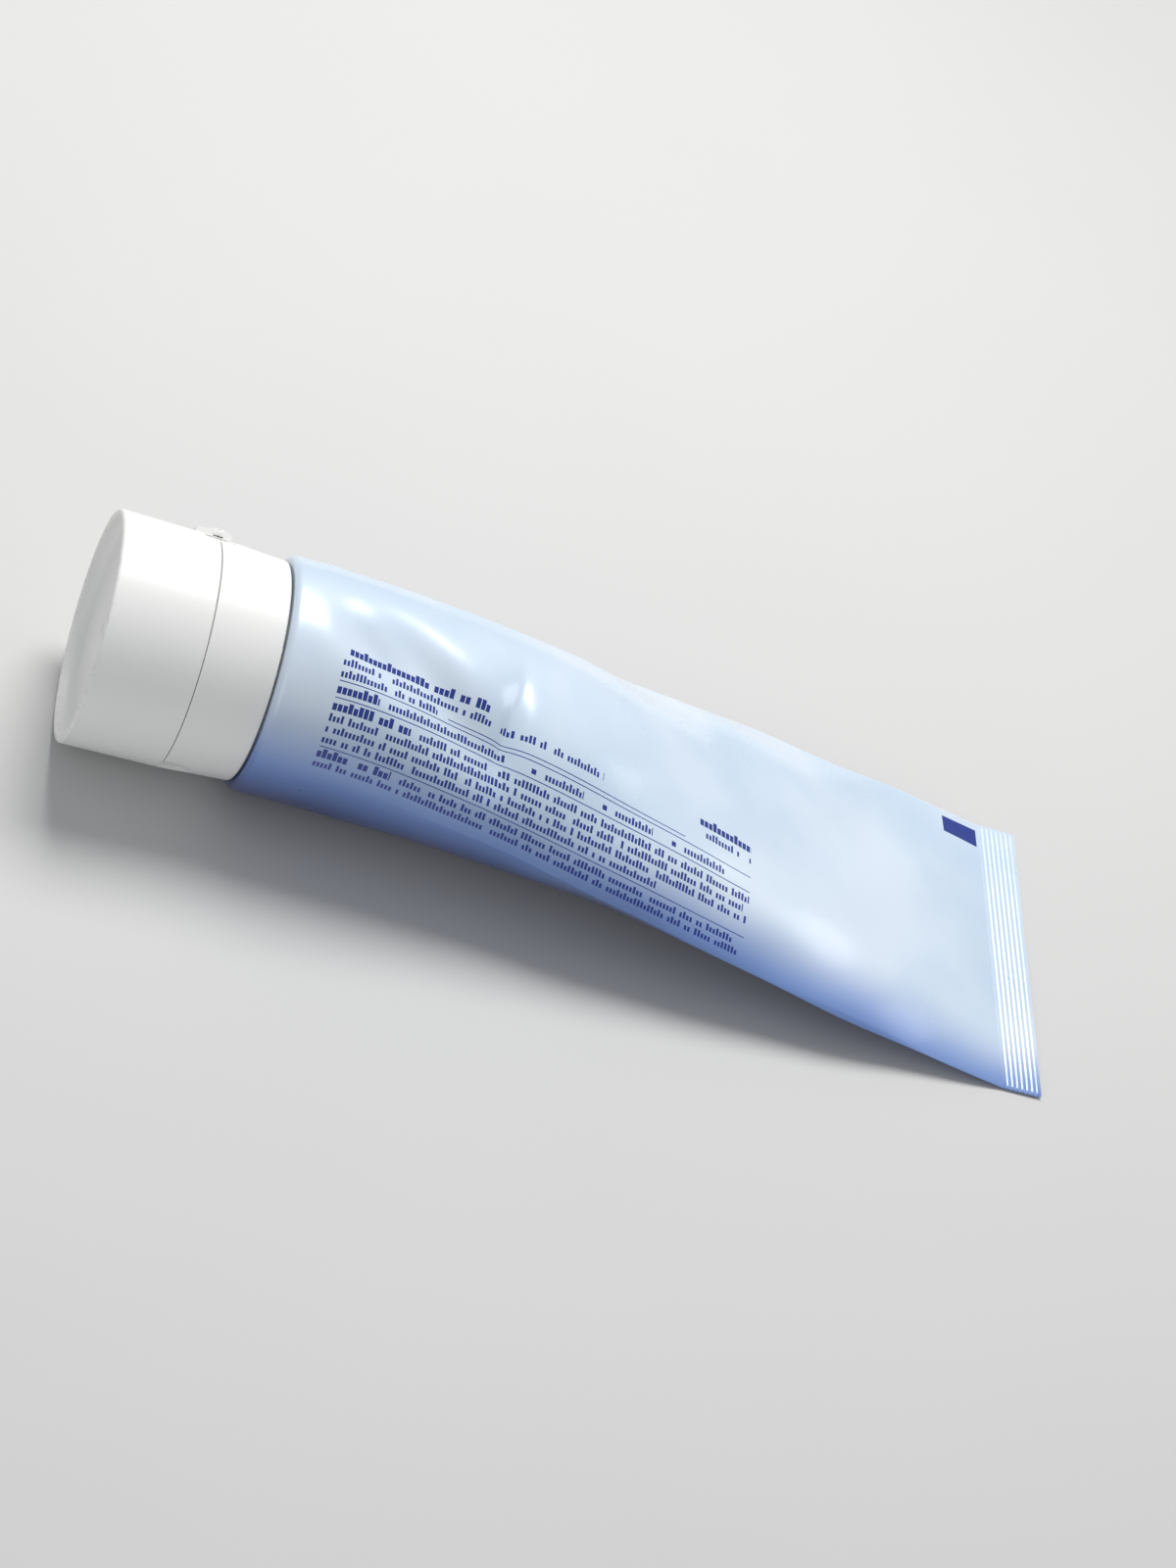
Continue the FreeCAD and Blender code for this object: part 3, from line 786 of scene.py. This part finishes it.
sleeveSkin = makeSleeve()
print("stage 3: sleeve made, faces", len(sleeveSkin.data.polygons))
makeCream()
makeGateMark()
hingeFilm = makeStrip("hingeFilm", hingeStrips["hingeFilm"])
strapLower = makeStrip("strapLower", hingeStrips["strapLower"])
strapUpper = makeStrip("strapUpper", hingeStrips["strapUpper"])
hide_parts("hinge_film")
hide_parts("hinge_straps")
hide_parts("hinge_straps")
for node, material, slotName in (
    ("lid", capPlastic, "cap_plastic"),
    ("closure_base", capPlastic, "cap_plastic"),
    ("shoulder", neckPlastic, "shoulder_plastic"),
    ("barrier_insert", neckPlastic, "insert_plastic"),
):
    dress(frame["nodes"][node], material)
print("stage 4: cream, hinge strips, gate mark and CAD materials")

# floor, lights and camera, in metres, watts and degrees
stageLook = {
    "floor": (0.62, 0.62, 0.615),
    "floorReach": 3,
    "world": (0.80, 0.82, 0.85),
    "worldStrength": 0.45,
}
lightLook = {
    "keyLight": {"place": (-0.02, 0.31, 0.60), "size": 0.34, "power": 4.0, "colour": (1.0, 0.99, 0.97)},
    "fillLight": {"place": (-0.35, -0.65, 0.35), "size": 0.6, "power": 0.8, "colour": (0.96, 0.98, 1.0)},
    "sideLight": {"place": (0.6, 0.15, 0.35), "size": 0.3, "power": 0.5, "colour": (1.0, 1.0, 1.0)},
}
cameraLook = {
    "elevation": 42.0,
    "swing": 21.0,
    "roll": 29.5,
    "distance": 0.63,
    "lens": 90.0,
    "target": (0.0, 0.0, 0.014),
}


def makeFloor():
    # a plain pale floor, wide enough to fill the view, with a faint mottle
    material, tree, shader, coordinates = newMaterial("floorPaint")
    mottle = noise(tree, coordinates.outputs["Object"], 14.0, 3.0)
    pale = stageLook["floor"]
    tree.links.new(mixColour(tree, mottle, pale, tuple(0.97 * c for c in pale)), shader.inputs["Base Color"])
    shader.inputs["Roughness"].default_value = 0.7
    mesh = bpy.data.meshes.new("floor")
    r = stageLook["floorReach"]
    mesh.from_pydata([(-r, -r, 0), (r, -r, 0), (r, r, 0), (-r, r, 0)], [], [(0, 1, 2, 3)])
    mesh.materials.append(material)
    floor = bpy.data.objects.new("floor", mesh)
    bpy.context.scene.collection.objects.link(floor)


def makeLight(name, place, size, power, colour):
    # a round soft light that faces the object
    lamp = bpy.data.lights.new(name, "AREA")
    lamp.shape = "DISK"
    lamp.size = size
    lamp.energy = power
    lamp.color = colour
    light = bpy.data.objects.new(name, lamp)
    light.location = place
    light.rotation_euler = (Vector(cameraLook["target"]) - Vector(place)).to_track_quat("-Z", "Y").to_euler()
    bpy.context.scene.collection.objects.link(light)


def makeCamera():
    # It looks at the target from its elevation, swung towards the cap, and is rolled about its line of sight.
    c = cameraLook
    rise, swing, roll = (math.radians(c[key]) for key in ("elevation", "swing", "roll"))
    back = Vector((-math.sin(swing) * math.cos(rise), -math.cos(swing) * math.cos(rise), math.sin(rise)))
    level = Vector((math.cos(swing), -math.sin(swing), 0))
    above = back.cross(level)
    right = level * math.cos(roll) + above * math.sin(roll)
    up = above * math.cos(roll) - level * math.sin(roll)
    lens = bpy.data.cameras.new("camera")
    lens.lens = c["lens"]
    lens.clip_start = 0.01
    camera = bpy.data.objects.new("camera", lens)
    facing = Matrix((right, up, back)).transposed().to_4x4()
    camera.matrix_world = Matrix.Translation(Vector(c["target"]) + back * c["distance"]) @ facing
    bpy.context.scene.collection.objects.link(camera)
    bpy.context.scene.camera = camera


def makeWorld():
    # even pale light from all round
    world = bpy.data.worlds.new("studio")
    bpy.context.scene.world = world
    world.use_nodes = True
    background = world.node_tree.nodes["Background"]
    background.inputs["Color"].default_value = (*stageLook["world"], 1.0)
    background.inputs["Strength"].default_value = stageLook["worldStrength"]


makeFloor()
for name, look in lightLook.items():
    makeLight(name, look["place"], look["size"], look["power"], look["colour"])
makeCamera()
makeWorld()
bpy.context.scene.view_settings.view_transform = "Standard"
print("stage 5: floor, lights and camera")
